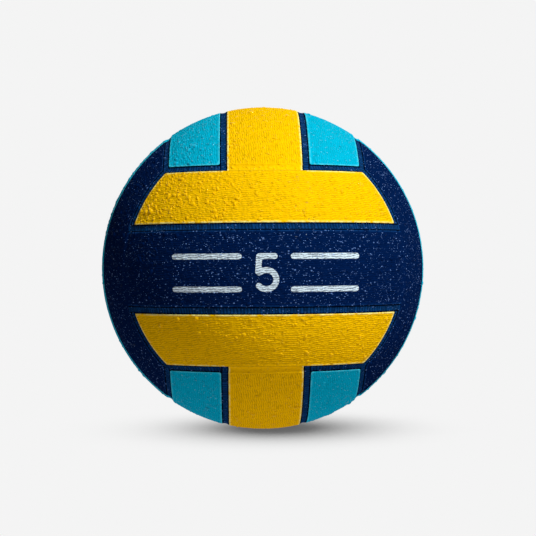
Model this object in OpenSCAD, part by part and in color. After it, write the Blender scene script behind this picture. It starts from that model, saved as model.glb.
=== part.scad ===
// Water polo ball
// The cover is laid out like a cube blown up into a ball: six faces of three strips each, with the strips
// of neighbouring faces at right angles. Every seam is an arc of a circle in a flat plane square to X, Y
// or Z, and three seams meet at each of the eight corners. Under the cover lie a thread winding and a
// bladder, and a valve goes through all of them at the middle of the back face.
// Millimetres. The origin is the ball's centre, +Z is up and the front faces -Y.

/* [Ball] */
// Outside diameter over the panels
ball_d = 220; // [205:1:228]
// Width of the middle strip of a face along the surface, from seam line to seam line
middle_w = 52.7; // [44:0.1:60]

/* [Cover] */
// Thickness of the coloured rubber panels
panel_t = 1.2; // [1.1:0.05:2.5]
// Thickness of the base rubber under the panels
base_t = 0.5; // [0.3:0.05:1.5]
// Width of the base rubber that shows between two panels
seam_w = 4.9; // [3.5:0.1:7]
// Width of the rounded lip that the channel takes off each panel's edge
lip_w = 0.35; // [0.15:0.05:0.6]
// Depth of a seam channel below the panels
channel_depth = 0.9; // [0.4:0.05:1.05]

/* [Carcass] */
// Thickness of the nylon thread winding
winding_t = 0.4; // [0.2:0.05:1]
// Thickness of the bladder
bladder_t = 0.7; // [0.4:0.05:1.5]

/* [Valve] */
// Diameter of the housing's round face and of the neck behind it
valve_neck_d = 9; // [7:0.5:12]
// Diameter of the flange that is bonded to the inside of the bladder
valve_flange_d = 26; // [20:1:34]
// Thickness of the flange
valve_flange_t = 1; // [0.6:0.1:2]
// Diameter of the housing's body inside the bladder
valve_body_d = 12; // [9:0.5:16]
// Length of the housing's body below the flange
valve_body_h = 13; // [11:0.5:20]
// Thickness of the closed floor under the plug
valve_floor_t = 2; // [1:0.25:4]
// Rounding of the body's inner end
valve_body_round = 1.5; // [0.5:0.25:2.5]
// Diameter of the plug that seals the housing
plug_d = 6; // [5:0.25:6.5]
// Diameter of the needle's hole
needle_d = 2; // [1.6:0.1:2.6]
// Diameter of the funnel that guides the needle in
funnel_d = 3.6; // [3:0.1:4.5]
// Depth of the funnel
funnel_h = 1; // [0.5:0.1:2]

/* [Hidden] */
$fn = 240;
// how far a cutter runs past what it cuts
past = 1;

// Shell radii, from the panels inwards
ball_r = ball_d / 2;
panel_in_r = ball_r - panel_t;
base_in_r = panel_in_r - base_t;
winding_in_r = base_in_r - winding_t;
bladder_in_r = winding_in_r - bladder_t;

// Seams, as degrees of latitude from the plane through the middle of a face
corner_lat = asin(1 / sqrt(3));
middle_lat = surface_angle(middle_w / 2);
seam_half = surface_angle(seam_w / 2);
// Half turns, about a face's own axis, that its inner and outer seams run from the face's centre line
inner_run = atan2(sqrt(1 - pow(sin(middle_lat), 2) - pow(sin(corner_lat), 2)), sin(corner_lat));
outer_run = 45;

// Channel section: an arc of a circle, from lip to lip
channel_w = seam_w + 2 * lip_w;
channel_r = (pow(channel_w / 2, 2) + pow(channel_depth, 2)) / (2 * channel_depth);
channel_centre_r = ball_r - channel_depth + channel_r;

// Valve heights from the ball's centre
valve_face_h = sqrt(pow(ball_r, 2) - pow(valve_neck_d / 2, 2));
flange_in_r = bladder_in_r - valve_flange_t;
valve_end_h = flange_in_r - valve_body_h;
plug_end_h = valve_end_h + valve_floor_t;

// Faces of the cube: name, turn that takes the front face's axes to this pair of faces, half turn to the
// far face of the pair, names of the strips on the minus side, middle and plus side, and their colours
SIDES = [
    ["front", [0, 0, 0], 0, ["lower", "centre", "upper"], ["gold", "midnightblue"]],
    ["back", [0, 0, 0], 180, ["lower", "centre", "upper"], ["gold", "midnightblue"]],
    ["bottom", [90, 0, 90], 0, ["left", "centre", "right"], ["darkturquoise", "gold"]],
    ["top", [90, 0, 90], 180, ["left", "centre", "right"], ["darkturquoise", "gold"]],
    ["left", [0, -90, -90], 0, ["front", "centre", "back"], ["midnightblue", "darkturquoise"]],
    ["right", [0, -90, -90], 180, ["front", "centre", "back"], ["midnightblue", "darkturquoise"]]
];
VALVE_SIDE = "back";
STRIPS = [-1, 0, 1];

// Angle at the ball's centre of a length along its surface
function surface_angle(length) = length / ball_r * 180 / PI;

// Distance from the ball's centre of the plane that cuts the surface at a latitude
function plane_at(lat) = ball_r * sin(lat);

// Name and colour of a panel
function panel_name(side, strip) = str(side[0], "_", side[3][strip + 1], "_panel");
function panel_colour(side, strip) = side[4][strip == 0 ? 1 : 0];

// Takes what is drawn for the front face to another face
module on_side(side) {
    rotate(side[1]) rotate([0, 0, side[2]]) children();
}

// Takes what is drawn along +Z to the valve's place on the back face
module at_valve() {
    rotate([-90, 0, 0]) children();
}

// Block that holds one strip of the front face: the lower, middle or upper one. Its walls are flat, because
// every seam lies in a flat plane.
// An outer strip stops at its own side of the seam to the next face. The middle strip goes on across that
// seam, because it and the panel that it meets there have one colour and share the channel between them.
module strip_block(strip) {
    reach = ball_r + 2 * past;
    z_from = strip == 0 ? -plane_at(middle_lat - seam_half) : plane_at(middle_lat + seam_half);
    z_to = plane_at(strip == 0 ? middle_lat - seam_half : corner_lat - seam_half);
    y_to = -plane_at(strip == 0 ? corner_lat - seam_half : corner_lat + seam_half);
    mirror([0, 0, strip < 0 ? 1 : 0]) translate([-reach, -reach, z_from])
        cube([2 * reach, reach + y_to, z_to - z_from]);
}

// Cutter for the channel on one seam circle about Z, a run to each side of the front face's middle
module channel(lat, run) {
    rotate([0, 0, -90 - run]) rotate_extrude(angle = 2 * run)
        translate([channel_centre_r * cos(lat), channel_centre_r * sin(lat)])
            circle(channel_r);
}

// The inner and outer channels above the middle of the front face
module upper_channels() {
    channel(middle_lat, inner_run);
    channel(corner_lat, outer_run);
}

// The channel at the right end of the front face, which is an outer channel of the face beside it
module end_channel() {
    rotate([0, -90, 90]) channel(corner_lat, outer_run);
}

// All the channels that touch one face's strips: its own four and the two at its ends
module face_channels() {
    for (flip = [0, 1]) {
        mirror([0, 0, flip]) upper_channels();
        mirror([flip, 0, 0]) end_channel();
    }
}

// Hole through the cover, winding and bladder that the valve's neck fills
module valve_hole() {
    at_valve() translate([0, 0, bladder_in_r - past])
        cylinder(h = ball_r - bladder_in_r + 2 * past, d = valve_neck_d);
}

// Closed shell between two radii, open only for the valve's neck
module shell(r_out, r_in) {
    difference() {
        sphere(r_out);
        sphere(r_in);
        valve_hole();
    }
}

// One of the eighteen coloured rubber panels
module cover_panel(side, strip) {
    color(panel_colour(side, strip)) difference() {
        on_side(side) difference() {
            intersection() {
                sphere(ball_r);
                strip_block(strip);
            }
            sphere(panel_in_r);
            face_channels();
        }
        if (side[0] == VALVE_SIDE && strip == 0) valve_hole();
    }
}

// Cutter for the pockets of one face, in which its three panels lie
module face_pockets() {
    difference() {
        for (strip = STRIPS) strip_block(strip);
        sphere(panel_in_r);
    }
}

// Base rubber: a thin layer under every panel that stands up between them, with the channels in it
module cover_base() {
    color("navy") difference() {
        shell(ball_r, base_in_r);
        for (side = SIDES) on_side(side) {
            face_pockets();
            for (flip = [0, 1]) mirror([0, 0, flip]) upper_channels();
        }
    }
}

// Nylon thread wound over the bladder in every direction
module nylon_winding() {
    color("wheat") shell(base_in_r, winding_in_r);
}

// Airtight rubber bladder
module bladder() {
    color("dimgray") shell(winding_in_r, bladder_in_r);
}

// Valve housing: neck through the cover, flange on the bladder's inside, and a body that holds the plug
module valve_housing() {
    color("black") at_valve() difference() {
        rotate_extrude() {
            translate([0, flange_in_r - past]) square([valve_neck_d / 2, valve_face_h - flange_in_r + past]);
            intersection() {
                difference() {
                    circle(bladder_in_r);
                    circle(flange_in_r);
                }
                square([valve_flange_d / 2, ball_r]);
            }
            translate([0, valve_end_h + valve_body_round])
                square([valve_body_d / 2, valve_body_h - valve_body_round + valve_flange_t / 2]);
            translate([0, valve_end_h]) square([valve_body_d / 2 - valve_body_round, valve_body_round + past]);
            translate([valve_body_d / 2 - valve_body_round, valve_end_h + valve_body_round]) intersection() {
                circle(valve_body_round);
                translate([0, -valve_body_round]) square([valve_body_round, valve_body_round]);
            }
        }
        translate([0, 0, plug_end_h]) cylinder(h = ball_r - plug_end_h, d = plug_d);
    }
}

// Plug that fills the housing and closes round the pump's needle
module valve_plug() {
    color("dimgray") at_valve() difference() {
        translate([0, 0, plug_end_h]) cylinder(h = valve_face_h - plug_end_h, d = plug_d);
        translate([0, 0, plug_end_h - past]) cylinder(h = valve_face_h - plug_end_h + 2 * past, d = needle_d);
        translate([0, 0, valve_face_h - funnel_h]) cylinder(h = funnel_h, d1 = needle_d, d2 = funnel_d);
    }
}

for (side = SIDES) for (strip = STRIPS)
    cover_panel(side, strip);
cover_base();
nylon_winding();
bladder();
valve_housing();
valve_plug();
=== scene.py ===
# %% [markdown]
# # A wet water polo ball
#
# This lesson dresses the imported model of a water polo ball. Its cover has eighteen rubber panels, three on
# each of six faces, laid into a dark base rubber. Between them run round-bottomed seam channels, and the ball
# has just come out of the water. The model's frame gives every body and size. The lesson adds what the eye
# looks for: fine ridges for grip, the ribbed channels, a print, drops of water, and rubber that looks like
# rubber.

# %% Load the frame
import math

import bmesh
import bpy
import numpy as np
from mathutils import Matrix, Vector


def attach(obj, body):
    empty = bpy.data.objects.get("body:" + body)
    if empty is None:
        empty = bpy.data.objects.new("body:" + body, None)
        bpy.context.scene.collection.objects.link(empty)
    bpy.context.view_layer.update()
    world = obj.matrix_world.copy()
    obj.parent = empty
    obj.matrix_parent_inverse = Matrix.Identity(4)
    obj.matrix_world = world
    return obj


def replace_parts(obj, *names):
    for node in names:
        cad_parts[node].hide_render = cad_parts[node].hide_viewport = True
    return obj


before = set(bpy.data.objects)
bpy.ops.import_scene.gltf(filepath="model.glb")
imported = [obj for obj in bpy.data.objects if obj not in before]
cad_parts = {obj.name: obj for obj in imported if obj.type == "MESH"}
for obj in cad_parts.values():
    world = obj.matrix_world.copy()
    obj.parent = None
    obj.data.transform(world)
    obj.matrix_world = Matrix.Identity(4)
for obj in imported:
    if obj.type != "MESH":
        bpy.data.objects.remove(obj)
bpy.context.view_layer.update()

MM = 0.001

# %% [markdown]
# ## The camera
#
# A camera is fixed by where it stands, how it is turned and how long its lens is. The ball's outline is nearly
# a circle, so the seams tell the rest: a long lens nine ball radii away makes them curve as they do in the
# photograph. The ball stands a hair left of the middle of the picture, which is a small shift of the lens and
# not a turn, so that its outline stays round.

# %% Set up the camera
CAMERA_DISTANCE = 0.990
LENS_SHARE = 1438.6 / 536  # focal length as a share of the picture's width
YAW, PITCH, ROLL = (math.radians(a) for a in (1.188, 0.173, -0.381))
SHIFT = 0.00996  # share of the picture's width


def put(name, data):
    """A new object in the scene that shows this data."""
    made = bpy.data.objects.new(name, data)
    bpy.context.scene.collection.objects.link(made)
    return made


turn = Matrix.Rotation(ROLL, 3, "Y") @ Matrix.Rotation(PITCH, 3, "X") @ Matrix.Rotation(YAW, 3, "Z")
lens = bpy.data.cameras.new("long lens")
lens.sensor_width = 36.0
lens.lens = lens.sensor_width * LENS_SHARE
lens.shift_x = SHIFT
camera = put("camera", lens)
axes = Matrix((turn[0], turn[2], -turn[1])).transposed().to_4x4()
camera.matrix_world = Matrix.Translation(turn.transposed() @ Vector((0, -CAMERA_DISTANCE, 0))) @ axes
bpy.context.scene.camera = camera
bpy.context.scene.view_settings.view_transform = "Standard"
print("lens in mm:", round(lens.lens, 1))

# %% [markdown]
# ## The ball's plan
#
# Every seam of this ball lies in a flat plane square to one axis. A point of the ball can be given three
# latitudes, one above each pair of faces, and each seam is then a line of constant latitude. Twelve outer
# seams run along the edges of a cube blown up into a ball, at the latitude of the cube's corners. Twelve inner
# seams run across the faces. Each seam stops where it meets another one, so its distance is measured to its
# end from there on. One function for the whole ball means that panels, channels, drops and print all agree.

# %% Measure the distance from the seams
BALL_R = 110.0  # mm, as all the lengths of the plan
PANEL_IN_R, BASE_IN_R = 108.8, 108.3
MIDDLE_W, SEAM_W = 52.7, 4.9
CORNER_LAT = math.asin(1 / math.sqrt(3))
MIDDLE_LAT = MIDDLE_W / 2 / BALL_R
SEAM_HALF = SEAM_W / 2 / BALL_R
OUTER_SEAMS = ((2, 0), (0, 1), (1, 2))  # axis that the seam's plane is square to, axis whose seam ends it
INNER_SEAMS = ((2, 1), (0, 2), (1, 0))  # axis that the seam's plane is square to, axis of the face it is on


def latitudes(points):
    """Latitude of each point above the three planes through the ball's centre."""
    share = np.abs(points) / np.linalg.norm(points, axis=1, keepdims=True)
    return np.arcsin(np.clip(share, 0, 1))


def seam_distance(points):
    """Distance in mm from each point to the nearest seam line."""
    lat = latitudes(points)
    past_corner = lat - CORNER_LAT
    ways = [np.hypot(past_corner[:, a], np.maximum(past_corner[:, b], 0)) for a, b in OUTER_SEAMS]
    ways += [np.hypot(lat[:, a] - MIDDLE_LAT, np.maximum(-past_corner[:, b], 0)) for a, b in INNER_SEAMS]
    return np.minimum.reduce(ways) * BALL_R


print("the front's middle is", round(float(seam_distance(np.array([[0, -1.0, 0]]))[0]), 2), "mm from a seam")

# %% [markdown]
# ## The channel's section
#
# The seam channel is a shallow arc of a circle with slightly rounded lips. A sharp lip would look like cut
# card, and rubber never has one. Taking the larger of two heights gives a sharp corner, and the square root
# below is the usual way to round such a corner by a known amount.

# %% Measure the channel's depth
CHANNEL_W, CHANNEL_DEPTH, LIP_ROUND = 5.6, 0.9, 0.07
CHANNEL_R = ((CHANNEL_W / 2) ** 2 + CHANNEL_DEPTH**2) / (2 * CHANNEL_DEPTH)


def groove(distance):
    """Depth in mm of the channel at a distance from its seam line."""
    arc = np.sqrt(np.maximum(CHANNEL_R**2 - distance**2, 0.01)) - (CHANNEL_R - CHANNEL_DEPTH)
    return (arc + np.hypot(arc, LIP_ROUND)) / 2


def smooth_step(x, low, high):
    """0 below low, 1 above high, and an even slope between."""
    t = np.clip((x - low) / (high - low), 0, 1)
    return t * t * (3 - 2 * t)


print("depth at 0, 1.5 and 2.8 mm:", np.round(groove(np.array([0, 1.5, 2.8])), 2))

# %% [markdown]
# ## Turning work from the front to the other faces
#
# All six faces are alike, so everything is shaped once on the front face, whose strips run along X. Swapping
# the coordinates round takes it to the bottom or the left, and a half turn about Z comes first for the far
# side of each pair. A swap like this is a true turn and not a mirror image, so faces keep pointing outwards.

# %% Define the six sides
SIDES = {
    "front": ((0, 1, 2), 1, ("lower", "centre", "upper")),
    "back": ((0, 1, 2), -1, ("lower", "centre", "upper")),
    "bottom": ((2, 0, 1), 1, ("left", "centre", "right")),
    "top": ((2, 0, 1), -1, ("left", "centre", "right")),
    "left": ((1, 2, 0), 1, ("front", "centre", "back")),
    "right": ((1, 2, 0), -1, ("front", "centre", "back")),
}


def to_side(points, side):
    """Front face points taken to another side of the ball."""
    order, far = SIDES[side][:2]
    return (points * (far, far, 1))[:, order]


def on_sphere(lat, azimuth):
    """Directions at a latitude, and at an azimuth that is 0 straight in front."""
    return np.stack((np.cos(lat) * np.sin(azimuth), -np.cos(lat) * np.cos(azimuth), np.sin(lat)), axis=1)


def plane_at(lat):
    """Distance in mm from the ball's centre of the plane that cuts the surface at a latitude."""
    return BALL_R * math.sin(lat)


# %% [markdown]
# ## A slab to shape the rubber from
#
# Panels and channel linings are thin closed slabs. Each starts flat: a fine grid for the side that shows, a
# coarser one for the side that lies hidden on the layer below, and a bridge round the rim that joins them.
# Modelling flat and bending later is much like the real thing, which is moulded as a flat sheet. The rim is
# marked sharp, so that smooth shading doesn't smear round it.

# %% Make flat slabs
COARSER = 4


def to_mesh(bm, name):
    """A mesh from a bmesh, which is then given up."""
    mesh = bpy.data.meshes.new(name)
    bm.to_mesh(mesh)
    bm.free()
    return mesh


def flat_slab(name, columns, rows):
    """Closed flat slab 2 by 2: fine on top, at height 0, and coarser below, at height -1."""
    bm = bmesh.new()
    bmesh.ops.create_grid(bm, x_segments=columns, y_segments=rows, size=1)
    below = Matrix.Translation((0, 0, -1))
    bmesh.ops.create_grid(
        bm, x_segments=columns // COARSER, y_segments=rows // COARSER, size=1, matrix=below)
    rims = [e for e in bm.edges if e.is_boundary]
    bmesh.ops.bridge_loops(bm, edges=rims)
    bmesh.ops.recalc_face_normals(bm, faces=bm.faces)
    for face in bm.faces:
        face.smooth = True
    for edge in rims:
        edge.smooth = False
    print(name, "faces:", len(bm.faces), "open edges:", sum(e.is_boundary for e in bm.edges))
    return to_mesh(bm, name)


# %% [markdown]
# ## Where the grid lines go
#
# A grid spends its lines where the shape needs them. Across a strip they stand close at the lips and then
# five to a ridge, and along a strip they can be wider apart. Each table below gives the lines' places, and a
# point of the flat slab looks its place up there.

# %% Place the panels' grid lines
OUTER_RIDGES, MIDDLE_RIDGES = 24, 32
LINES_PER_RIDGE = 5
LIP_LINES = (0, 0.15, 0.4, 0.7)
LIP_MARGIN = 1.0
OUTER_HALF, MIDDLE_HALF = 85.8, 107.5  # half lengths of the strips, along the seam side and the centre line


def across_lines(width, ridges):
    """Places in mm of the lines across a strip, from one edge to the other."""
    ridged = np.linspace(LIP_MARGIN, width - LIP_MARGIN, ridges * LINES_PER_RIDGE + 1)
    return np.concatenate((LIP_LINES, ridged, width - np.array(LIP_LINES[::-1])))


def along_lines(half_length, fine, fine_step, columns):
    """Places from -1 to 1 of the lines along a strip, with a fine stretch at both ends."""
    end = np.linspace(0, fine, round(fine / fine_step) + 1)
    middle = np.linspace(fine, half_length, columns // 2 - len(end) + 2)[1:]
    right = 1 - np.concatenate((end, middle))[::-1] / half_length
    return np.concatenate((-right[:0:-1], right))


OUTER_WIDTH = (CORNER_LAT - MIDDLE_LAT - 2 * SEAM_HALF) * BALL_R
MIDDLE_WIDTH = 2 * (MIDDLE_LAT - SEAM_HALF) * BALL_R
OUTER_ACROSS = across_lines(OUTER_WIDTH, OUTER_RIDGES)
MIDDLE_ACROSS = across_lines(MIDDLE_WIDTH, MIDDLE_RIDGES)
OUTER_ALONG = along_lines(OUTER_HALF, fine=1.0, fine_step=0.25, columns=176)
MIDDLE_ALONG = along_lines(MIDDLE_HALF, fine=6.4, fine_step=0.32, columns=232)
outer_slab = flat_slab("outer strip slab", len(OUTER_ALONG) - 1, len(OUTER_ACROSS) - 1)
middle_slab = flat_slab("middle strip slab", len(MIDDLE_ALONG) - 1, len(MIDDLE_ACROSS) - 1)
print("strip widths in mm:", round(OUTER_WIDTH, 2), round(MIDDLE_WIDTH, 2))

# %% [markdown]
# ## The ridges
#
# Fine ridges run along every strip, so that a wet hand holds the ball. A cosine gives one ridge, and a table
# of random heights, one row per ridge, breaks the ridges up along their length as worn and wet rubber looks.
# The ridges fade out before the lips and round the valve, where the real mould is smooth. They are real
# geometry and not a bump, because the light rakes across them near the ball's outline, where a bump looks flat.

# %% Shape the ridges
RIDGE_HEIGHT = 0.28
RIDGE_CELL = 2.2  # length of ridge that has one height
LONGEST = 240  # more than any strip's length
WAVES, WAVE_SIZE = (23.0, 9.1, 5.3), 0.14  # lengths, and sideways swing as a share of a ridge
WAVE_LEAN = 3.1  # mm across the strip that shift a wave by a radian
HIGH, LOW, LOW_SHARE = (0.5, 1.0), (0.1, 0.4), 0.22  # heights, worn heights, and the share that is worn


def ridge_cut(across, along, field, ridges, width, rng):
    """Height of the ridges as a share, and their depth in mm below the ball's surface."""
    phase = (across - LIP_MARGIN) / (width - 2 * LIP_MARGIN) * ridges
    for wave in WAVES:
        start = rng.uniform(0, 6.28)
        phase += WAVE_SIZE * field * np.sin(along / wave * 2 * math.pi + across / WAVE_LEAN + start)
    crest = 0.5 - 0.5 * np.cos(2 * math.pi * phase)
    cells = LONGEST / RIDGE_CELL
    heights = rng.uniform(*HIGH, (ridges + 2, int(cells) + 2))
    low = rng.random(heights.shape) < LOW_SHARE
    heights[low] = rng.uniform(*LOW, heights.shape)[low]
    row = np.clip(np.floor(phase).astype(int) + 1, 0, ridges + 1)
    place = np.clip((along + LONGEST / 2) / RIDGE_CELL + rng.random(), 0, cells)
    cell = place.astype(int)
    height = heights[row, cell] + (heights[row, cell + 1] - heights[row, cell]) * (place - cell)
    return crest * height, RIDGE_HEIGHT * field * (1 - crest * height)


# %% [markdown]
# ## Bending a slab into a panel
#
# A slab's width becomes latitude and its length azimuth. An outer strip ends at the channel beside the next
# face. The middle strip goes on across that channel, because it and the panel that it meets there are one
# colour and share it. Five numbers are kept with each point for the materials: how far it lies inside the
# panel's edge, rounded at the corners, how far from the joint with a panel of its own colour, how far along
# and across the strip, and how near a ridge's crest.

# %% Bend the panels
SOFT_CORNER = 0.7  # how far from a corner two edges' distances flow together
FAR = 99.0  # stands for no edge near
PLAIN_LIP = 0.35, 0.95  # inside a panel's edge the ridges begin between these distances
PLAIN_ROUND_VALVE = 8.5, 10.5  # and round the valve between these radii


def points_of(mesh):
    """The places of a mesh's points, three numbers each."""
    places = np.empty(len(mesh.vertices) * 3)
    mesh.vertices.foreach_get("co", places)
    return places.reshape(-1, 3)


def keep_numbers(mesh, **numbers):
    """Keep numbers with a mesh's points, for the materials."""
    for name, values in numbers.items():
        mesh.attributes.new(name, "FLOAT", "POINT").data.foreach_set("value", values)


def soft_least(*distances):
    """The least of some distances, with the corners between them rounded."""
    return -SOFT_CORNER * np.log(sum(np.exp(-d / SOFT_CORNER) for d in distances))


def bend_panel(name, slab_mesh, strip, side, seed):
    """A panel's mesh from a copy of the flat slab."""
    middle = strip == 0
    width, ridges = (MIDDLE_WIDTH, MIDDLE_RIDGES) if middle else (OUTER_WIDTH, OUTER_RIDGES)
    mesh = slab_mesh.copy()
    mesh.name = name
    u, v, layer = points_of(mesh).T
    lines_along, lines_across = (MIDDLE_ALONG, MIDDLE_ACROSS) if middle else (OUTER_ALONG, OUTER_ACROSS)
    share = np.interp((u + 1) / 2 * (len(lines_along) - 1), np.arange(len(lines_along)), lines_along)
    across = np.interp((v + 1) / 2 * (len(lines_across) - 1), np.arange(len(lines_across)), lines_across)
    first_lat = -MIDDLE_LAT + SEAM_HALF if middle else MIDDLE_LAT + SEAM_HALF
    end_lat = CORNER_LAT - SEAM_HALF if middle else CORNER_LAT + SEAM_HALF
    lat = first_lat + across / BALL_R
    azimuth = share * np.arccos(plane_at(end_lat) / (BALL_R * np.cos(lat)))
    along = azimuth * BALL_R
    if strip < 0:
        lat, azimuth = -lat, -azimuth
    where = on_sphere(lat, azimuth)
    from_seam = seam_distance(where)
    to_end = (np.arcsin(-where[:, 1]) - end_lat) * BALL_R
    if middle:
        joint = to_end
        edge = soft_least(across, width - across)
    else:
        joint = np.where(np.abs(where[:, 0]) < math.sin(MIDDLE_LAT), width - across, FAR)
        edge = soft_least(across, np.where(joint < FAR, FAR, width - across), to_end)
    field = smooth_step(soft_least(across, width - across, from_seam - SEAM_W / 2), *PLAIN_LIP)
    if side == "back" and middle:
        field *= smooth_step(np.hypot(where[:, 0], where[:, 2]) * BALL_R, *PLAIN_ROUND_VALVE)
    rng = np.random.default_rng(seed)
    crest, cut = ridge_cut(across, along, field, ridges, width, rng)
    top = BALL_R - groove(from_seam) - cut
    points = to_side(where * np.where(layer < -0.5, PANEL_IN_R, top)[:, None], side) * MM
    mesh.vertices.foreach_set("co", points.ravel())
    keep_numbers(
        mesh, edge=edge, joint=joint, along=along, across=across - width / 2, crest=1 - field * (1 - crest))
    mesh.update()
    return mesh


panels = {}
for side, (_, _, strip_names) in SIDES.items():
    for strip, strip_name in zip((-1, 0, 1), strip_names):
        node = f"{side}_{strip_name}_panel"
        slab_mesh = outer_slab if strip else middle_slab
        mesh = bend_panel("ridged_" + node, slab_mesh, strip, side, seed=len(panels))
        panel = put("ridged_" + node, mesh)
        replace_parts(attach(panel, "root"), node)
        panels[node] = panel
print("panels:", len(panels), "faces:", sum(len(p.data.polygons) for p in panels.values()))

# %% [markdown]
# ## The valve's hole
#
# The valve's round face shows in the middle of the back. Its hole goes through the panel, and the plain way
# to cut a round hole in a dense grid is a boolean with a cylinder. The result is applied at once, so the panel
# ends as plain mesh.

# %% Cut the valve's hole
VALVE_NECK_D = 9.0
CUTTER_AT, CUTTER_LENGTH = 109.0, 8.0
bm = bmesh.new()
bmesh.ops.create_cone(
    bm, cap_ends=True, segments=96, radius1=VALVE_NECK_D / 2 * MM, radius2=VALVE_NECK_D / 2 * MM,
    depth=CUTTER_LENGTH * MM,
    matrix=Matrix.Translation((0, CUTTER_AT * MM, 0)) @ Matrix.Rotation(math.pi / 2, 4, "X"))
cutter = put("valve hole", to_mesh(bm, "valve hole"))
valve_panel = panels["back_centre_panel"]
hole = valve_panel.modifiers.new("hole", "BOOLEAN")
hole.object, hole.operation, hole.solver = cutter, "DIFFERENCE", "EXACT"
cut = bpy.data.meshes.new_from_object(valve_panel.evaluated_get(bpy.context.evaluated_depsgraph_get()))
valve_panel.modifiers.clear()
valve_panel.data = cut
bpy.data.objects.remove(cutter)
print("back centre panel faces:", len(cut.polygons))

# %% [markdown]
# ## The channels' linings
#
# The base rubber shows in the channels. On the real ball it was pressed between the panels, which left fine
# ribs across each channel. A lining is a long slab whose section is the channel's arc. An inner lining runs
# the length of a face. An outer one only runs from the strip to the corner, where three of them meet, each
# ending in a point so that they close without a gap. Points keep their edge distance and rib height, as the
# panels do.

# %% Shape the linings
RIB_PITCH, RIB_HEIGHT = 2.0, 0.2
RIB_COUNT = 400  # more than the ribs of any lining
RIB_LEAN, RIB_SWAY, SWAY_LENGTH = 0.35, 0.35, 7.3
RIM_FROM = 0.75  # share of the half width where the lining turns into the lip, without ribs
CROWDED = 0.8  # below 1, the lining's lines stand closer at its edges
RIB_TONE = 0.45  # how light the highest rib is to the material, where 1 is a panel's crest
LINING_FLOOR_R = (PANEL_IN_R + BASE_IN_R) / 2
LINING_ROWS, INNER_COLUMNS, OUTER_COLUMNS = 8, 480, 96
STRIP_EDGE = plane_at(MIDDLE_LAT + SEAM_HALF)


def inner_ends(offset):
    """Azimuths where an inner lining starts and ends, for offsets in radians across it."""
    reach = np.arccos(plane_at(CORNER_LAT - SEAM_HALF) / (BALL_R * np.cos(MIDDLE_LAT + offset)))
    return -reach, reach


def outer_ends(offset):
    """Azimuths where an outer lining starts, at the strip's edge, and ends, in a point at the corner."""
    lat = CORNER_LAT + offset
    start = np.arcsin(STRIP_EDGE / (BALL_R * np.cos(lat)))
    over = np.arcsin(np.sin(CORNER_LAT - np.abs(offset)) / np.cos(lat))
    under = np.arccos(np.sin(CORNER_LAT + np.abs(offset)) / np.cos(lat))
    return start, np.where(offset > 0, over, under)


def bend_lining(flat, lat, ends, side, turned, mirrored, rng):
    """Points in metres, edge distances and rib heights of one lining, from the flat slab's points."""
    u, v, layer = flat.T
    offset = np.sign(v) * np.abs(v) ** CROWDED * SEAM_HALF
    start, end = ends(offset)
    share = (1 - u) / 2 if mirrored else (u + 1) / 2
    azimuth = (start + (end - start) * share) * (-1 if mirrored else 1)
    height = lat + offset
    sign = -1 if turned else 1
    where = on_sphere(sign * height, sign * azimuth)
    along = azimuth * BALL_R * math.cos(lat)
    lean = along + RIB_LEAN * v * rng.uniform(0.4, 1.6)
    beat = lean / RIB_PITCH + RIB_SWAY * np.sin(lean / SWAY_LENGTH + rng.uniform(0, 6)) + rng.random()
    strengths = rng.uniform(0.25, 1, RIB_COUNT)
    strength = strengths[np.floor(beat).astype(int) % RIB_COUNT]
    rim = smooth_step(np.abs(v), RIM_FROM, 1)
    rib = (0.5 - 0.5 * np.cos(2 * math.pi * beat)) * strength * (1 - rim)
    top = BALL_R - groove(seam_distance(where)) + RIB_HEIGHT * rib
    radius = np.where(layer < -0.5, LINING_FLOOR_R, top)
    edge = (1 - np.abs(v)) * SEAM_HALF * BALL_R
    return to_side(where * radius[:, None], side) * MM, edge, np.maximum(RIB_TONE * rib, rim)


# %% [markdown]
# ## Laying the linings
#
# Every face has two inner linings, and four outer ones of half a seam each. All of one kind become one mesh:
# the flat slab is copied as often as needed, and then all the points are moved at once. The linings and the
# layer made further down are the cover's base rubber, and stand in for its node together.

# %% Lay the linings
def lay_linings(name, slab_mesh, lat, ends, variants, seed):
    """One mesh that holds a lining for every side and variant."""
    flat = points_of(slab_mesh)
    rng = np.random.default_rng(seed)
    bm = bmesh.new()
    for _ in range(len(SIDES) * len(variants)):
        bm.from_mesh(slab_mesh)
    mesh = to_mesh(bm, name)
    made = [
        bend_lining(flat, lat, ends, side, turned, mirrored, rng)
        for side in SIDES for turned, mirrored in variants]
    points, edge, crest = (np.concatenate(parts) for parts in zip(*made))
    mesh.vertices.foreach_set("co", points.ravel())
    keep_numbers(mesh, edge=edge, crest=crest)
    mesh.update()
    lining = put(name, mesh)
    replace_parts(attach(lining, "root"), "cover_base")
    print(name, "faces:", len(mesh.polygons))
    return lining


inner_slab = flat_slab("inner lining slab", INNER_COLUMNS, LINING_ROWS)
outer_lining_slab = flat_slab("outer lining slab", OUTER_COLUMNS, LINING_ROWS)
inner_lining = lay_linings(
    "inner_channel_lining", inner_slab, MIDDLE_LAT, inner_ends, [(False, False), (True, False)], seed=50)
outer_lining = lay_linings(
    "outer_channel_lining", outer_lining_slab, CORNER_LAT, outer_ends,
    [(turned, mirrored) for turned in (False, True) for mirrored in (False, True)], seed=51)

# %% [markdown]
# ## The layer under the panels
#
# Under the panels the base rubber is an even shell, open only for the valve. A shell like that is turned
# like a bowl on a lathe: half of its section, spun round the valve's axis.

# %% Spin the layer under the panels
SHELL_STEPS, SHELL_SECTORS = 60, 96


def shell_arc(bm, radius, first, last):
    """Vertices on an arc in the YZ plane, from the valve's hole to the far pole or back."""
    angles = np.linspace(first, last, SHELL_STEPS + 1)
    return [bm.verts.new((0, radius * math.cos(a) * MM, radius * math.sin(a) * MM)) for a in angles]


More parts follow.
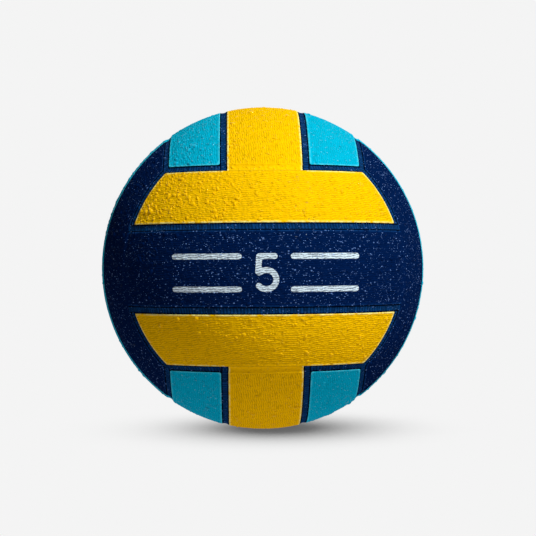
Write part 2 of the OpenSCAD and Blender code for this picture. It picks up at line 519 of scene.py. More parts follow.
bm = bmesh.new()
hole_half = VALVE_NECK_D / 2
section = shell_arc(bm, PANEL_IN_R, math.asin(hole_half / PANEL_IN_R), math.pi)
section += shell_arc(bm, BASE_IN_R, math.pi, math.asin(hole_half / BASE_IN_R))
outside, inside = section[: SHELL_STEPS + 1], section[SHELL_STEPS + 1:]
edges = [bm.edges.new(pair) for arc in (outside, inside) for pair in zip(arc, arc[1:])]
edges.append(bm.edges.new((inside[-1], outside[0])))
bmesh.ops.spin(
    bm, geom=section + edges, cent=(0, 0, 0), axis=(0, 1, 0), angle=2 * math.pi, steps=SHELL_SECTORS,
    use_merge=True)
bmesh.ops.remove_doubles(bm, verts=bm.verts, dist=1e-7)
bmesh.ops.recalc_face_normals(bm, faces=bm.faces)
for face in bm.faces:
    face.smooth = True
print("layer: faces", len(bm.faces), "open edges", sum(e.is_boundary for e in bm.edges))
base_layer = put("cover_base_layer", to_mesh(bm, "cover_base_layer"))
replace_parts(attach(base_layer, "root"), "cover_base")

# %% [markdown]
# ## The drops of water
#
# Water stands on rubber in small domes of many sizes, here some 1,400 large ones and 2,100 fine ones. Each
# drop is the upper half of a squashed sphere, sunk a little into the rubber and stretched one way, so that no
# two look alike. An operator called thousands of times on one growing mesh gets slower and slower, so one
# round drop is made for each size class and copied as a whole mesh. The copies are then moved all at once.

# %% Make one round drop of each kind
def round_drop(name, around, high):
    """A closed half sphere of radius 1 that stands on z = 0."""
    bm = bmesh.new()
    bmesh.ops.create_uvsphere(bm, u_segments=around, v_segments=high, radius=1)
    bmesh.ops.delete(bm, geom=[v for v in bm.verts if v.co.z < -0.01], context="VERTS")
    for face in bm.faces:
        face.smooth = True
    bmesh.ops.holes_fill(bm, edges=[e for e in bm.edges if e.is_boundary])
    bmesh.ops.recalc_face_normals(bm, faces=bm.faces)
    print(name, "faces:", len(bm.faces), "open edges:", sum(e.is_boundary for e in bm.edges))
    return to_mesh(bm, name)


fine_drop, large_drop = round_drop("fine drop", around=7, high=4), round_drop("large drop", around=10, high=8)

# %% [markdown]
# ## Where the drops lie
#
# The drops lie in patches, and crowd at the upper left, where the ball was splashed. They keep off the edges
# of the panels, over which they would hang, off the print and off the floor. Each one is told which rubber
# lies under it, because that is the colour that water shows. The random numbers have a seed, so the drops lie
# the same way every time.

# %% Sprinkle the drops
drop_rng = np.random.default_rng(7)
RUBBER_NAMES = ["yellow", "cyan", "navy", "base"]
STAYS = np.array((1.0, 0.5, 0.5, 0.6))  # share of the drops that each rubber holds
SPLASHED = np.array((-0.68, -0.60, 0.42))  # where most of the water hit, at the upper left of the front
SPLASH_EDGE = 0.72, 0.97  # cosines of the angles from there at which the splash ends and is full
EVERYWHERE, PATCHY, SPLASH = 0.15, 0.05, 0.8  # what adds up to the chance that a drop lies at a place
PRINT_X, PRINT_Z = 0.62, 0.16  # the print's half width and half height, as shares of the ball's radius
FLOOR_Z = -0.985  # a drop below this height would touch the floor, as such a share
FROM_EDGE, FROM_EDGE_SHARE = 0.3, 0.8  # how far from a panel's edge, in mm and as a share of the drop's radius
SUNK, SUNK_SHARE = 0.15, 0.3  # depth of a drop's foot in the rubber, in mm and as a share of its height
STRETCH, DOME = (0.72, 1.35), (0.45, 0.75)  # length and height of the drops, as shares of their radius
LARGE_COUNT, FINE_COUNT = 2600, 3600  # places to choose from


def drop_places(count):
    """Directions for drops, which lie in patches and crowd where the ball was splashed."""
    ways = drop_rng.normal(size=(count * 6, 3))
    ways /= np.linalg.norm(ways, axis=1, keepdims=True)
    patches = np.sin(ways @ drop_rng.normal(0, 6, (3, 5)) + drop_rng.uniform(0, 6, 5)).sum(axis=1)
    wanted = EVERYWHERE + PATCHY * patches + SPLASH * smooth_step(ways @ SPLASHED, *SPLASH_EDGE)
    return ways[drop_rng.random(len(ways)) < wanted][:count]


def clear_of_edges(ways, from_seam, radii):
    """Where a drop neither hangs over a panel's edge, covers the print nor touches the floor."""
    off_edge = np.abs(from_seam - SEAM_HALF * BALL_R) > FROM_EDGE_SHARE * radii + FROM_EDGE
    on_print = (ways[:, 1] < 0) & (np.abs(ways[:, 0]) < PRINT_X) & (np.abs(ways[:, 2]) < PRINT_Z)
    return off_edge & ~on_print & (ways[:, 2] > FLOOR_Z)


def rubber_under(ways, from_seam):
    """Which rubber lies at each direction, as an index into the names."""
    x, y, z = np.abs(ways).T
    cube, strip = math.sin(CORNER_LAT), math.sin(MIDDLE_LAT)
    front = np.where(z > strip, 0, 2)
    top = np.where(x > strip, 1, 0)
    left = np.where(y > strip, 2, 1)
    panel = np.where((z > cube) & (x < cube), top, np.where((x > cube) & (y < cube), left, front))
    lat = latitudes(ways)
    shared = np.zeros(len(ways), bool)  # channels between two panels of one colour
    for a, b in ((2, 0), (1, 2), (0, 1)):
        shared |= (np.abs(lat[:, a] - CORNER_LAT) < SEAM_HALF) & (lat[:, b] < MIDDLE_LAT - SEAM_HALF)
    return np.where((from_seam < SEAM_HALF * BALL_R) & ~shared, 3, panel)


def strew(name, drop_mesh, radii):
    """One mesh of drops with these radii in mm."""
    up = drop_places(len(radii))
    radii = radii[:len(up)]
    from_seam = seam_distance(up)
    rubbers = rubber_under(up, from_seam)
    kept = clear_of_edges(up, from_seam, radii) & (drop_rng.random(len(up)) < STAYS[rubbers])
    up, radii, from_seam, rubbers = up[kept], radii[kept], from_seam[kept], rubbers[kept]
    side = np.cross(up, drop_rng.normal(size=up.shape))
    side /= np.linalg.norm(side, axis=1, keepdims=True)
    stretch = drop_rng.uniform(*STRETCH, len(up))
    dome = radii * drop_rng.uniform(*DOME, len(up))
    frames = np.stack((
        side * (radii * stretch)[:, None], np.cross(up, side) * (radii / stretch)[:, None],
        up * dome[:, None]), axis=1)
    ground = BALL_R - groove(from_seam) - SUNK - SUNK_SHARE * dome
    points = (points_of(drop_mesh) @ frames + (up * ground[:, None])[:, None]) * MM
    bm = bmesh.new()
    for _ in up:
        bm.from_mesh(drop_mesh)
    mesh = to_mesh(bm, name)
    mesh.vertices.foreach_set("co", points.ravel())
    mesh.polygons.foreach_set("material_index", np.repeat(rubbers, len(drop_mesh.polygons)))
    mesh.update()
    piece = put(name, mesh)
    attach(piece, "root")
    print(name, dict(zip(RUBBER_NAMES, np.bincount(rubbers).tolist())), "triangles:",
          sum(len(p.vertices) - 2 for p in mesh.polygons))
    return piece


large_radii = np.clip(drop_rng.lognormal(-0.05, 0.3, LARGE_COUNT), 0.5, 1.9)
large_drops = strew("large_water_drops", large_drop, large_radii)
fine_radii = np.clip(drop_rng.lognormal(-0.7, 0.3, FINE_COUNT), 0.25, 0.9)
fine_drops = strew("fine_water_drops", fine_drop, fine_radii)

# %% [markdown]
# ## The print
#
# The front middle panel carries the ball's size number between plain bars, in white ink. Instead of cutting
# the shape into the mesh, each point stores its signed distance from the print's outline, and the material
# turns that into ink. The outline then stays crisp, and the ridges show through it as they do through real
# ink. The distance to a stroke is the distance to a line, less half of the stroke's width.

# %% Draw the print
STROKE = 3.6
PRINT_CENTRE = -2.6  # height above the middle of the panel
HALF_HEIGHT = 10.2  # from the print's middle to the middle of its outer strokes
BAR_FROM, BAR_TO = 17, 60


def stroke_distance(x, y, corners):
    """Distance from each point to a line through some corners."""
    best = np.full(x.shape, np.inf)
    for (x0, y0), (x1, y1) in zip(corners, corners[1:]):
        dx, dy = x1 - x0, y1 - y0
        share = np.clip(((x - x0) * dx + (y - y0) * dy) / (dx * dx + dy * dy), 0, 1)
        best = np.minimum(best, np.hypot(x - x0 - share * dx, y - y0 - share * dy))
    return best


def number_five():
    """Corners of the strokes of the number 5, about its own middle."""
    bowl = [(6.1 * math.cos(a), -4.2 + 5.9 * math.sin(a)) for a in np.linspace(2.35, -2.45, 28)]
    return [(5.2, HALF_HEIGHT), (-4.4, HALF_HEIGHT), (-5.0, 0.6)] + bowl


print_mesh = panels["front_centre_panel"].data
along, across = np.empty(len(print_mesh.vertices)), np.empty(len(print_mesh.vertices))
print_mesh.attributes["along"].data.foreach_get("value", along)
print_mesh.attributes["across"].data.foreach_get("value", across)
up = across - PRINT_CENTRE
ink = STROKE / 2 - stroke_distance(along, up, number_five())
for end in (-1, 1):
    for height in (-HALF_HEIGHT, HALF_HEIGHT):
        bar = [(end * BAR_FROM, height), (end * BAR_TO, height)]
        ink = np.maximum(ink, STROKE / 2 - stroke_distance(along, up, bar))
keep_numbers(print_mesh, ink=ink)
print("printed points:", int((ink > 0).sum()))

# %% [markdown]
# ## Building materials from nodes
#
# Small helpers keep the materials readable: each adds a node, sets its options and joins its inputs in one
# line. Effects that several rubbers share are node groups, built once and given their own values in each
# material. All patterns are measured in metres on Object coordinates, so they have their real size.

# %% Helpers for nodes
def add(tree, kind, inputs=(), **options):
    """Add a shader node. Inputs are numbers, colours or the outputs of other nodes."""
    made = tree.nodes.new(kind)
    for name, value in options.items():
        setattr(made, name, value)
    for name, value in dict(inputs).items():
        if isinstance(value, bpy.types.NodeSocket):
            tree.links.new(value, made.inputs[name])
        else:
            made.inputs[name].default_value = value
    return made


def new_group(name, inputs, outputs):
    """A node group with named inputs and outputs. Gives the group, its input node and its output node."""
    group = bpy.data.node_groups.new(name, "ShaderNodeTree")
    for label, kind, value in inputs:
        socket = group.interface.new_socket(label, in_out="INPUT", socket_type=kind)
        if value is not None:
            socket.default_value = value
    for label, kind in outputs:
        group.interface.new_socket(label, in_out="OUTPUT", socket_type=kind)
    return group, group.nodes.new("NodeGroupInput"), group.nodes.new("NodeGroupOutput")


def maths(tree, operation, first, second=0.0, third=0.0):
    """The result of a Math node."""
    return add(tree, "ShaderNodeMath", {0: first, 1: second, 2: third}, operation=operation).outputs[0]


def between(tree, value, low, high, out_low=0.0, out_high=1.0):
    """A value moved smoothly from one range to another."""
    return add(tree, "ShaderNodeMapRange", {
        "Value": value, "From Min": low, "From Max": high, "To Min": out_low, "To Max": out_high},
        interpolation_type="SMOOTHSTEP").outputs["Result"]


def noise(tree, place, scale, detail, roughness=0.5):
    """A soft random pattern from 0 to 1, its scale in waves per metre."""
    return add(tree, "ShaderNodeTexNoise", {
        "Vector": place, "Scale": scale, "Detail": detail, "Roughness": roughness}).outputs[0]


def grey(tree, value):
    """A colour with this value in all three channels."""
    return add(tree, "ShaderNodeCombineColor", {i: value for i in range(3)}).outputs[0]


def colour_mix(tree, share, first, second, blend="MIX"):
    """The colour output of a Mix node."""
    made = add(tree, "ShaderNodeMix", {0: share, 6: first, 7: second}, data_type="RGBA", blend_type=blend)
    return made.outputs[2]


def bump(tree, height, depth, normal=None):
    """The normal of a bumpy surface, from a height and what a height of 1 is in mm."""
    inputs = {"Height": height, "Distance": depth * MM}
    if normal is not None:
        inputs["Normal"] = normal
    return add(tree, "ShaderNodeBump", inputs).outputs["Normal"]


def new_material(name):
    """A material with its node tree, its Principled shader and the place of each point on the piece."""
    material = bpy.data.materials.new(name)
    material.use_nodes = True
    tree = material.node_tree
    place = add(tree, "ShaderNodeTexCoord").outputs["Object"]
    return material, tree, tree.nodes["Principled BSDF"], place


# %% [markdown]
# ## Group: moulded rubber grain
#
# Moulded rubber isn't smooth like plastic. It has a pebbled, leathery grain about a millimetre wide and a
# slight cloudiness of colour where the mix was uneven. The group gives a height for bump, a shade to multiply
# the colour with, and a roughness.

# %% Build the rubber grain
FLOAT, VECTOR = "NodeSocketFloat", "NodeSocketVector"
PIT_DEPTH, PIT_SHADE = 0.45, 0.35  # the pits' height beside a pebble's, and how much they shade the colour
CLOUD_ROUGHNESS = 0.5
grain_group, grain_in, grain_out = new_group(
    "rubber grain",
    [("Vector", VECTOR, None), ("Pebbles per metre", FLOAT, 430.0), ("Roughness", FLOAT, 0.5),
     ("Cloudiness", FLOAT, 0.1)],
    [("Height", FLOAT), ("Shade", FLOAT), ("Roughness", FLOAT)])
pebbles = add(grain_group, "ShaderNodeTexVoronoi", {
    "Vector": grain_in.outputs["Vector"], "Scale": grain_in.outputs["Pebbles per metre"],
    "Randomness": 1.0}, feature="SMOOTH_F1")
pits = noise(grain_group, grain_in.outputs["Vector"], 750.0, 3.0, 0.6)
clouds = noise(grain_group, grain_in.outputs["Vector"], 55.0, 4.0, 0.6)
pebble_height = maths(grain_group, "SUBTRACT", 1.0, pebbles.outputs["Distance"])
height = maths(grain_group, "MULTIPLY_ADD", pits, PIT_DEPTH, pebble_height)
cloud = maths(grain_group, "SUBTRACT", clouds, 0.5)
pit_shade = maths(grain_group, "MULTIPLY", maths(grain_group, "SUBTRACT", pits, 0.5), PIT_SHADE)
cloud_shade = maths(grain_group, "MULTIPLY", cloud, grain_in.outputs["Cloudiness"])
shade = maths(grain_group, "ADD", maths(grain_group, "ADD", 1.0, pit_shade), cloud_shade)
rough = maths(grain_group, "MULTIPLY_ADD", cloud, CLOUD_ROUGHNESS, grain_in.outputs["Roughness"])
grain_group.links.new(height, grain_out.inputs["Height"])
grain_group.links.new(shade, grain_out.inputs["Shade"])
grain_group.links.new(rough, grain_out.inputs["Roughness"])
print("nodes in the grain group:", len(grain_group.nodes))

# %% [markdown]
# ## Group: spray
#
# Between the drops lies spray too fine to model, beads of a millimetre and less. A Voronoi pattern scatters
# points, a random number per cell leaves some of them out, and what is left becomes small domes that are
# smooth and shiny. The group gives their height, a mask of where it is wet, and white flecks: the finest spray
# scatters light like fog, so it looks white, and the flecks are painted glints of light on the water too. The
# pattern is squeezed upright and stretched sideways, as spray that was flung, and a noise adds drifts of
# painted flecks and glints too small to be beads.

# %% Build the spray
FLUNG, DRAWN_OUT = (0.8, 0.8, 1.15), (0.75, 0.75, 1.3)  # how the beads, and then the drifts, are stretched
# White beads are painted flecks of spray and painted glints of light on the water.
WHITE_GLINT_SHARE = 0.45  # share of the beads that look white


def stretched(tree, place, factors):
    """The place of each point, times a factor for each axis."""
    return add(tree, "ShaderNodeVectorMath", {0: place, 1: factors}, operation="MULTIPLY").outputs[0]


spray_group, spray_in, spray_out = new_group(
    "spray",
    [("Vector", VECTOR, None), ("Cells per metre", FLOAT, 900.0), ("Share", FLOAT, 0.3), ("Size", FLOAT, 0.2),
     ("Glint drift", FLOAT, 0.0)],
    [("Height", FLOAT), ("Wet", FLOAT), ("Fleck and glint", FLOAT)])
flung = stretched(spray_group, spray_in.outputs["Vector"], FLUNG)
cells = add(spray_group, "ShaderNodeTexVoronoi", {
    "Vector": flung, "Scale": spray_in.outputs["Cells per metre"]})
picked = add(spray_group, "ShaderNodeSeparateColor", {"Color": cells.outputs["Color"]})
there = maths(spray_group, "LESS_THAN", picked.outputs[0], spray_in.outputs["Share"])
size = maths(spray_group, "ADD", picked.outputs[1], 0.5)
reach = maths(spray_group, "MULTIPLY", size, spray_in.outputs["Size"])
dome = maths(spray_group, "SUBTRACT", 1.0, maths(spray_group, "DIVIDE", cells.outputs["Distance"], reach))
bead = maths(spray_group, "MULTIPLY", maths(spray_group, "MAXIMUM", dome, 0.0), there)
# Some beads are painted white, as spray and as glints of light on the water.
chosen = maths(spray_group, "LESS_THAN", picked.outputs[2], WHITE_GLINT_SHARE)
white_and_glint = maths(spray_group, "MULTIPLY", between(spray_group, bead, 0.2, 0.65), chosen)
# Drifts of painted white flecks and glints, too small to be beads.
streaks = noise(spray_group, stretched(spray_group, flung, DRAWN_OUT), 640.0, 3.0, 0.65)
glint_drift = maths(spray_group, "MULTIPLY", between(spray_group, streaks, 0.63, 0.75), spray_in.outputs["Glint drift"])
white_and_glint = maths(spray_group, "MAXIMUM", white_and_glint, glint_drift)
spray_group.links.new(maths(spray_group, "POWER", bead, 0.6), spray_out.inputs["Height"])
spray_group.links.new(between(spray_group, bead, 0.0, 0.15), spray_out.inputs["Wet"])
spray_group.links.new(white_and_glint, spray_out.inputs["Fleck and glint"])
print("nodes in the spray group:", len(spray_group.nodes))

# %% [markdown]
# ## Group: edge wear and painted highlight
#
# Along the lips the rubber is stretched thin and rubbed, and the lips catch the light, so a pale line is
# painted there: part wear, part painted highlight. The panels carry their distance from the edge as an
# attribute, which makes the line follow every curve. A little noise breaks it.

# %% Build the edge wear and painted highlight
# A pale line along the lips: their wear, and a painted highlight where they catch the light.
wear_and_highlight_group, wear_and_highlight_in, wear_and_highlight_out = new_group(
    "edge wear and painted highlight", [("Vector", VECTOR, None), ("Edge", FLOAT, 1.0), ("Width", FLOAT, 1.35)], [("Worn and lit", FLOAT)])
breaks = noise(wear_and_highlight_group, wear_and_highlight_in.outputs["Vector"], 260.0, 3.0)
full_to = maths(wear_and_highlight_group, "MULTIPLY", wear_and_highlight_in.outputs["Width"], 0.3)
far = between(wear_and_highlight_group, wear_and_highlight_in.outputs["Edge"], full_to, wear_and_highlight_in.outputs["Width"])
near = maths(wear_and_highlight_group, "SUBTRACT", 1.0, far)
worn_and_lit = maths(wear_and_highlight_group, "MULTIPLY", near, between(wear_and_highlight_group, breaks, 0.3, 0.6))
wear_and_highlight_group.links.new(worn_and_lit, wear_and_highlight_out.inputs["Worn and lit"])
print("nodes in the edge wear and painted highlight group:", len(wear_and_highlight_group.nodes))

# %% [markdown]
# ## The rubbers
#
# Each rubber is one Principled shader. The colour is painted first: the plain colour, the worn lips with a
# painted highlight, and a near black in the folds where panel and base meet, because no light gets out of a
# fold. The furrows between ridges are darker too, for the same reason. White flecks of spray go over it all,
# and are painted glints of light on the water as well. Then come the bumps, grain below and spray on top. Wet
# rubber is only shiny where it is wet, so the rubber itself has no gloss, and the spray adds a thin clear coat.

# %% Make a rubber
BASE_NAVY, FOLD_NAVY = (0.005, 0.052, 0.18, 1), (0.0001, 0.002, 0.01, 1)
INK = (0.71, 0.88, 0.95, 1)


def number(tree, name):
    """A number that the piece's points carry."""
    return add(tree, "ShaderNodeAttribute", attribute_name=name).outputs["Fac"]


def rubber(name, colour, lip_wear_and_highlight_colour, glint_fleck_colour, roughness=0.5, spray=0.8, glint_fleck=0.3, sheen=0.1, furrows=0.3,
           glint_drift=0.0, corners=True, print_ink=False, folds=False):
    """A wet, moulded rubber. Corners darken a panel's edge, and folds darken the base beside a panel."""
    material, tree, shader, place = new_material(name)
    edge, crest = number(tree, "edge"), number(tree, "crest")
    grain = add(tree, "ShaderNodeGroup", {"Vector": place, "Roughness": roughness}, node_tree=grain_group)
    beads = add(tree, "ShaderNodeGroup", {
        "Vector": place, "Cells per metre": 520.0, "Share": spray, "Size": 0.3}, node_tree=spray_group)
    mist = add(tree, "ShaderNodeGroup", {
        "Vector": place, "Cells per metre": 1100.0, "Share": spray * 0.8, "Size": 0.26, "Glint drift": glint_drift},
        node_tree=spray_group)
    wear_and_highlight = add(tree, "ShaderNodeGroup", {"Vector": place, "Edge": edge}, node_tree=wear_and_highlight_group)
    # Pale lips: wear, with a painted highlight where the lips catch the light.
    paint = colour_mix(tree, wear_and_highlight.outputs["Worn and lit"], colour, lip_wear_and_highlight_colour)
    if print_ink:
        thin = maths(tree, "MULTIPLY_ADD", noise(tree, place, 900.0, 4.0), 0.9, -0.45)
        covered = between(tree, maths(tree, "ADD", crest, thin), 0.02, 0.3, 0.35, 1.0)
        inked = maths(tree, "MULTIPLY", between(tree, number(tree, "ink"), -0.12, 0.12), covered)
        paint = colour_mix(tree, inked, paint, INK)
    if corners:
        paint = colour_mix(tree, between(tree, edge, -0.3, 0.02), FOLD_NAVY, paint)
        paint = colour_mix(tree, between(tree, number(tree, "joint"), 0.05, 0.5, 0.5, 0.0), paint, FOLD_NAVY)
    if folds:
        paint = colour_mix(tree, between(tree, edge, 0.65, 1.3), FOLD_NAVY, paint)
    # Painted shade in the furrows and pits, times the rubber's cloudy tone.
    furrow = between(tree, crest, -0.1, 0.35, 1.0 - furrows, 1.0)
    painted_shade_and_tone = maths(tree, "MULTIPLY", grain.outputs["Shade"], furrow)
    paint = colour_mix(tree, 1.0, paint, grey(tree, painted_shade_and_tone), "MULTIPLY")
    # Flecks of white spray painted over the colour. They stand for glints of light on the water too.
    bead_glint_flecks = maths(tree, "MULTIPLY", beads.outputs["Fleck and glint"], 0.55)
    glint_flecks = maths(tree, "MAXIMUM", bead_glint_flecks, mist.outputs["Fleck and glint"])
    paint = colour_mix(tree, maths(tree, "MULTIPLY", glint_flecks, glint_fleck), paint, glint_fleck_colour)
    tree.links.new(paint, shader.inputs["Base Color"])
    wet = maths(tree, "MAXIMUM", beads.outputs["Wet"], mist.outputs["Wet"])
    dry = maths(tree, "MULTIPLY_ADD", wet, -0.85, 1.0)
    tree.links.new(maths(tree, "MULTIPLY", grain.outputs["Roughness"], dry), shader.inputs["Roughness"])
    tree.links.new(maths(tree, "MULTIPLY", wet, sheen), shader.inputs["Coat Weight"])
    shader.inputs["Coat Roughness"].default_value = 0.06
    shader.inputs["Coat IOR"].default_value = 1.33
    shader.inputs["Specular IOR Level"].default_value = 0.0
    normal = bump(tree, grain.outputs["Height"], 0.6)
    normal = bump(tree, mist.outputs["Height"], 0.14, normal)
    normal = bump(tree, beads.outputs["Height"], 0.36, normal)
    tree.links.new(normal, shader.inputs["Normal"])
    return material


# %% [markdown]
# ## The colours of this ball
#
# Each rubber has three colours: the plain one, that of a worn lip with its painted highlight, and that of a
# fleck of white spray, which is a painted glint as well. They are amounts of light, as Blender wants them, so
# the navy looks far darker in these numbers than on a screen. The table of the faces says which rubber lies
# on the outer strips and which on the middle one.

# %% Mix the rubbers' colours
YELLOW = (1.0, 0.588, 0.001, 1), (1.0, 0.9, 0.28, 1), (1.0, 0.72, 0.06, 1)
CYAN = (0.001, 0.465, 0.665, 1), (0.06, 0.62, 0.8, 1), (0.3, 0.8, 0.9, 1)
NAVY = (0.0007, 0.0115, 0.066, 1), (0.004, 0.035, 0.14, 1), (0.24, 0.46, 1.0, 1)
yellow = rubber("yellow panel rubber", *YELLOW, furrows=0.38)
cyan = rubber("cyan panel rubber", *CYAN, glint_fleck=0.6)
# The navy carries many bright painted flecks: spray, and painted glints of light on the water.
wet_navy = {"glint_fleck": 0.95, "sheen": 0.06, "glint_drift": 0.6, "corners": False}
navy = rubber("navy panel rubber", *NAVY, **wet_navy)
printed = rubber("printed navy rubber", *NAVY, **wet_navy, print_ink=True)
base = rubber(
    "base rubber", BASE_NAVY, BASE_NAVY, NAVY[2], spray=0.6, glint_fleck=0.7, sheen=0.06, furrows=0.75, glint_drift=0.3,
    corners=False, folds=True)

FACE_COLOURS = {
    "front": ("yellow", "navy"), "back": ("yellow", "navy"), "bottom": ("cyan", "yellow"),
    "top": ("cyan", "yellow"), "left": ("navy", "cyan"), "right": ("navy", "cyan")}
RUBBERS = {"yellow": yellow, "cyan": cyan, "navy": navy}
for node, panel in panels.items():
    side, strip_name = node.split("_")[:2]
    colour = FACE_COLOURS[side][strip_name == "centre"]
    material = printed if node == "front_centre_panel" else RUBBERS[colour]
    panel.data.materials.clear()
    panel.data.materials.append(material)
for piece in (inner_lining, outer_lining, base_layer):
    piece.data.materials.append(base)
print("rubbers of the cover:", [made.name for made in (yellow, cyan, navy, printed, base)])

# %% [markdown]
# ## The water
#
# A drop this small has no colour of its own. The light that goes into it comes back from the rubber under it,
# so it shows that rubber's colour, a bright spot towards the lamp and a dark side away from it. That makes
# each drop a glossy dome in the rubber's colour, with a faint ripple so that no two bright spots match.

# %% Make the water
def water_over(name, colour, shine, gloss):
    """Water that shows the colour of the rubber under it."""
    material, tree, shader, place = new_material(name)
    ripple = noise(tree, place, 700.0, 1.0)
    shade = grey(tree, between(tree, ripple, 0.3, 0.7, 0.82, 1.0))
    tree.links.new(colour_mix(tree, 1.0, colour, shade, "MULTIPLY"), shader.inputs["Base Color"])
    tree.links.new(between(tree, ripple, 0.3, 0.7, 0.05, 0.2), shader.inputs["Roughness"])
    shader.inputs["IOR"].default_value = 1.33
    shader.inputs["Specular Tint"].default_value = shine
    shader.inputs["Specular IOR Level"].default_value = gloss
    tree.links.new(bump(tree, ripple, 0.05), shader.inputs["Normal"])
    return material


WATERS = [
    water_over("water over yellow", YELLOW[0], (1.0, 0.8, 0.3, 1), 0.12),
    water_over("water over cyan", CYAN[0], (0.4, 0.9, 1.0, 1), 0.1),
    water_over("water over navy", NAVY[0], (0.25, 0.5, 1.0, 1), 0.0),
    water_over("water over base", BASE_NAVY, (0.25, 0.5, 1.0, 1), 0.0)]
for piece in (large_drops, fine_drops):
    for water in WATERS:
        piece.data.materials.append(water)
print("waters:", [water.name for water in WATERS])

# %% [markdown]
# ## Pieces that stay as the frame made them
#
# The valve's housing and plug have the right shape already, so they only get rubber of their own. The nylon
# winding and the bladder lie hidden under the cover, and are finished too, because the part may be taken
# apart. The winding's thread is three sets of fine waves that cross.

# %% Finish the valve, the winding and the bladder
BLACK, GREY, SOOT = (0.008, 0.009, 0.011, 1), (0.03, 0.032, 0.036, 1), (0.014, 0.014, 0.015, 1)
plain = {"furrows": 0.0, "corners": False}
valve_black = rubber("valve rubber", BLACK, BLACK, GREY, roughness=0.4, spray=0.1, glint_fleck=0.1, **plain)
plug_grey = rubber("plug rubber", GREY, GREY, GREY, spray=0.05, glint_fleck=0.1, **plain)
bladder_rubber = rubber("bladder rubber", SOOT, SOOT, GREY, roughness=0.6, spray=0.0, glint_fleck=0.0, **plain)
THREAD_DARK, THREAD_PALE = (0.28, 0.24, 0.17, 1), (0.72, 0.67, 0.55, 1)

thread, tree, shader, place = new_material("nylon thread")
layers = []
for angles in ((0.3, 0.2, 0.1), (1.2, 0.8, 0.4), (-0.7, 1.3, 0.9)):
    turned = add(tree, "ShaderNodeMapping", {"Vector": place, "Rotation": angles})
    waves = add(tree, "ShaderNodeTexWave", {"Vector": turned.outputs[0], "Scale": 420.0, "Distortion": 1.5})
    layers.append(waves.outputs["Fac"])
woven = maths(tree, "MAXIMUM", maths(tree, "MAXIMUM", layers[0], layers[1]), layers[2])
tree.links.new(colour_mix(tree, woven, THREAD_DARK, THREAD_PALE), shader.inputs["Base Color"])
tree.links.new(between(tree, woven, 0.0, 1.0, 0.7, 0.4), shader.inputs["Roughness"])
tree.links.new(bump(tree, woven, 0.2), shader.inputs["Normal"])

FINISHES = {
    "valve_housing": valve_black, "valve_plug": plug_grey, "nylon_winding": thread, "bladder": bladder_rubber}
for node, material in FINISHES.items():
    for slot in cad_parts[node].material_slots:
        slot.material = material
print("finished nodes:", list(FINISHES))

# %% [markdown]
# ## The floor
#
# The ball stands on a plain pale floor that meets a plain pale backdrop without a line. For the camera both
# are one even grey, and only the floor's nearness to the ball darkens it, more at the right than at the left.
# That is the soft shadow of a large studio. For the ball the floor is a lamp of its own, which throws light
# back up and makes the lower half readable, more at the right, where the key lamp hits it. From below, the
# floor lets the camera see through it, so that the ball's underside can be looked at.

# %% Lay the floor
PALE = 0.905  # 244 of 255, as light
BOUNCE = 0.42, 0.70  # light that the floor throws back up at the ball, at the left and at the right
BOUNCE_TINT = (1.0, 0.9, 0.96, 1)
SHADOW_LEAN = 0.5, 1.1  # strength of the shadow at the left and at the right
OPEN_FLOOR = 0.75  # the floor is in shadow where less than this share of the sky above it is open
FALL = 1.6  # how steeply the shadow deepens towards the ball
DEEPEST = 0.86  # share of the light that the shadow takes at most


def looked_at(tree):
    """1 for rays that show the picture, straight, mirrored or through glass, and 0 for those that light it."""
    rays = add(tree, "ShaderNodeLightPath").outputs
    return maths(tree, "MAXIMUM", rays["Is Camera Ray"], maths(
        tree, "MAXIMUM", rays["Is Glossy Ray"], rays["Is Transmission Ray"]))


bm = bmesh.new()
bmesh.ops.create_grid(bm, x_segments=1, y_segments=1, size=12, matrix=Matrix.Translation((0, 0, -BALL_R * MM)))
floor = put("studio_floor", to_mesh(bm, "studio_floor"))

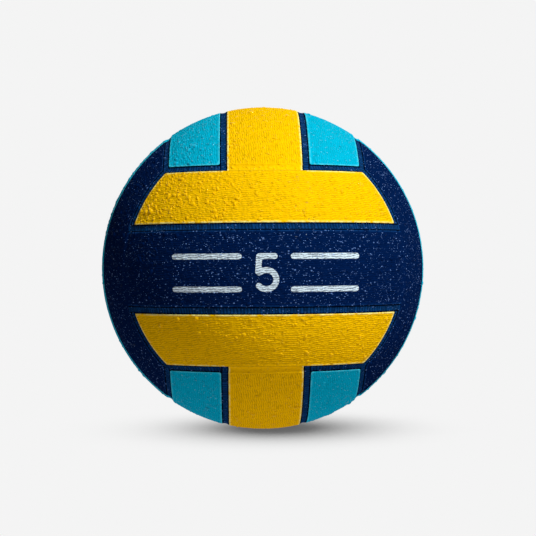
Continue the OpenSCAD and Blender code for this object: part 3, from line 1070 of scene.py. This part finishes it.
floor_paint, tree, shader, place = new_material("studio floor")
tree.nodes.remove(shader)
openness = add(tree, "ShaderNodeAmbientOcclusion", {"Distance": 1.0}, samples=16).outputs["AO"]
lack = maths(tree, "MAXIMUM", maths(tree, "MULTIPLY_ADD", openness, -1 / OPEN_FLOOR, 1.0), 0.0)
to_right = add(tree, "ShaderNodeSeparateXYZ", {0: place}).outputs["X"]
lean = between(tree, to_right, -0.1, 0.03, *SHADOW_LEAN)
shade = maths(tree, "MINIMUM", maths(tree, "MULTIPLY", maths(tree, "POWER", lack, FALL), lean), DEEPEST)
shaded = maths(tree, "MULTIPLY", maths(tree, "SUBTRACT", 1.0, shade), PALE)
glow = add(tree, "ShaderNodeEmission", {"Color": grey(tree, shaded), "Strength": 1.0})
bounce = add(tree, "ShaderNodeEmission", {
    "Color": BOUNCE_TINT, "Strength": between(tree, to_right, -0.25, 0.25, *BOUNCE)})
mixed = add(tree, "ShaderNodeMixShader", {0: looked_at(tree), 1: bounce.outputs[0], 2: glow.outputs[0]})
below = add(tree, "ShaderNodeNewGeometry").outputs["Backfacing"]
open_below = add(tree, "ShaderNodeMixShader", {
    0: below, 1: mixed.outputs[0], 2: add(tree, "ShaderNodeBsdfTransparent").outputs[0]})
tree.links.new(open_below.outputs[0], tree.nodes["Material Output"].inputs["Surface"])
floor.data.materials.append(floor_paint)
print("floor at", round(-BALL_R, 1), "mm, nodes in its paint:", len(tree.nodes))

# %% [markdown]
# ## The light
#
# The key lamp stands above and to the right in front of the ball, which gives the slow fall of light from the
# upper right to the lower left. It is small enough that the ridges throw their own shadows. A larger back
# lamp lights the top's far side, and an even room fills the rest. The room is seen as the same pale grey as
# the floor.

# %% Light the studio
FILL = 0.07  # light of the room, which fills the shadows
world = bpy.data.worlds.new("pale room")
bpy.context.scene.world = world
world.use_nodes = True
tree = world.node_tree
fill = tree.nodes["Background"]
fill.inputs["Color"].default_value = (1, 1, 1, 1)
fill.inputs["Strength"].default_value = FILL
backdrop = add(tree, "ShaderNodeBackground", {"Color": (PALE, PALE, PALE, 1), "Strength": 1.0})
room = add(tree, "ShaderNodeMixShader", {0: looked_at(tree), 1: fill.outputs[0], 2: backdrop.outputs[0]})
tree.links.new(room.outputs[0], tree.nodes["World Output"].inputs["Surface"])


def soft_lamp(name, place, size, power):
    """A square lamp that faces the ball's centre."""
    light = bpy.data.lights.new(name, "AREA")
    light.size, light.energy = size, power
    lamp = put(name, light)
    lamp.location = place
    lamp.rotation_mode = "QUATERNION"
    lamp.rotation_quaternion = (-Vector(place)).to_track_quat("-Z", "Y")
    print(name, "watts:", power, "metres from the ball:", round(Vector(place).length, 2))
    return lamp


soft_lamp("key lamp", (0.765, -1.05, 1.40), size=0.32, power=38.5)
soft_lamp("back lamp", (0.25, 1.50, 0.65), size=0.6, power=18).visible_glossy = False
